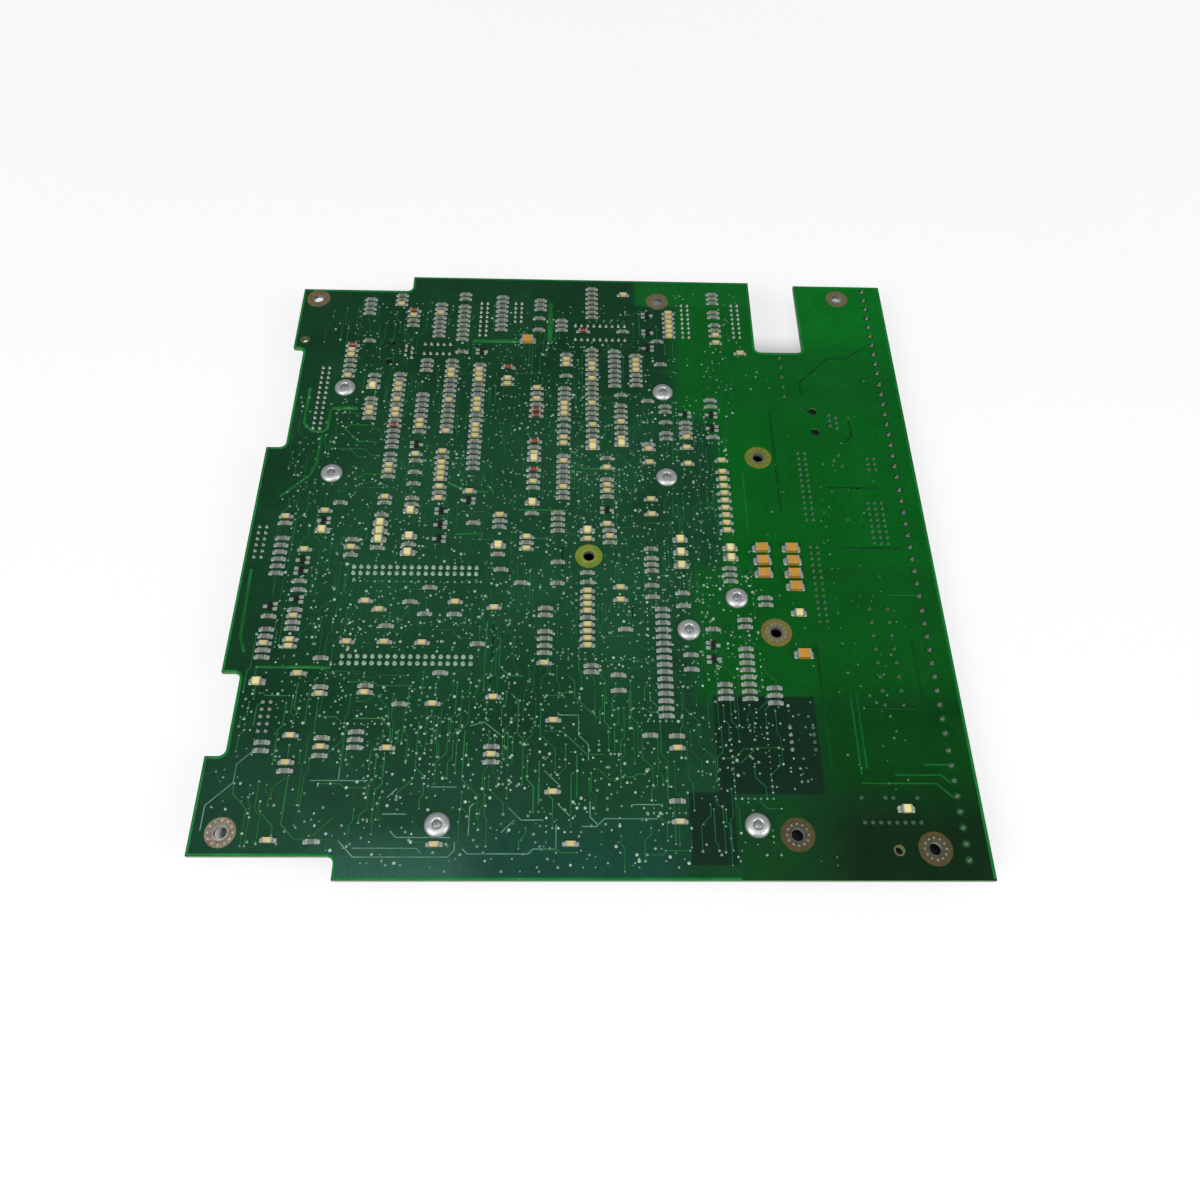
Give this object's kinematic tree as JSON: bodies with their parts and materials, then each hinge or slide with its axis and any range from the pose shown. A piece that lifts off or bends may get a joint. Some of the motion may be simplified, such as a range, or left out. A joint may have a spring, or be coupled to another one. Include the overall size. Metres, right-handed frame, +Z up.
{
  "type": "drive control board",
  "caption": "Large control circuit board lying solder side up: chip components and rivets above, screw terminals, headers and jacks below.",
  "frame": {"origin": "on the resting surface, under the middle of the board's outline", "axes": "+X towards the edge with the screw terminals, +Y along that edge towards the slotted edge, +Z up out of the solder side"},
  "size_m": [0.2466, 0.253, 0.0156],
  "materials": {
    "board": "gloss",
    "rivet_metal": "polished",
    "sheet_metal": "zinc plated",
    "terminal_green": "matte",
    "header_black": "matte",
    "jack_plastic": "matte",
    "chip_black": "matte",
    "relay_plastic": "gloss",
    "capacitor_blue": "gloss",
    "trimmer_blue": "satin",
    "can_metal": "satin",
    "resistor_dark": "satin",
    "ceramic_cream": "satin",
    "ceramic_yellow": "satin",
    "film_tan": "satin",
    "diode_brown": "gloss",
    "transistor_black": "matte"
  },
  "bodies": {
    "root": {"circuit_board": "board", "rivets": "rivet_metal", "rail_left": "sheet_metal", "rail_right": "sheet_metal", "front_rail": "sheet_metal", "corner_bracket": "sheet_metal", "terminal_block_1": "terminal_green", "terminal_block_2": "terminal_green", "terminal_block_3": "terminal_green", "terminal_block_4": "terminal_green", "terminal_block_5": "terminal_green", "ribbon_header_left": "header_black", "ribbon_header_upper": "header_black", "ribbon_header_lower": "header_black", "panel_header_left": "header_black", "panel_header_middle": "header_black", "panel_header_right": "header_black", "service_header_far": "header_black", "service_header_near": "header_black", "encoder_header": "header_black", "jumper_header": "header_black", "supply_jumper": "header_black", "option_socket_far": "header_black", "option_socket_near": "header_black", "power_header": "header_black", "keypad_jack": "jack_plastic", "network_jack": "jack_plastic", "driver_chip": "chip_black", "opto_coupler": "chip_black", "signal_relay": "relay_plastic", "isolating_converter": "chip_black", "filter_capacitors": "capacitor_blue", "main_processor": "chip_black", "gate_array": "chip_black", "program_memory": "chip_black", "data_memory": "chip_black", "clock_crystal": "can_metal", "voltage_regulator": "chip_black", "logic_chips": "chip_black", "trimmer": "trimmer_blue", "chip_resistors": "resistor_dark", "ceramic_capacitors": "ceramic_cream", "tall_capacitors": "ceramic_yellow", "film_capacitors": "film_tan", "glass_diodes": "diode_brown", "transistors": "transistor_black", "transistors_turned": "transistor_black"}
  },
  "joints": []
}
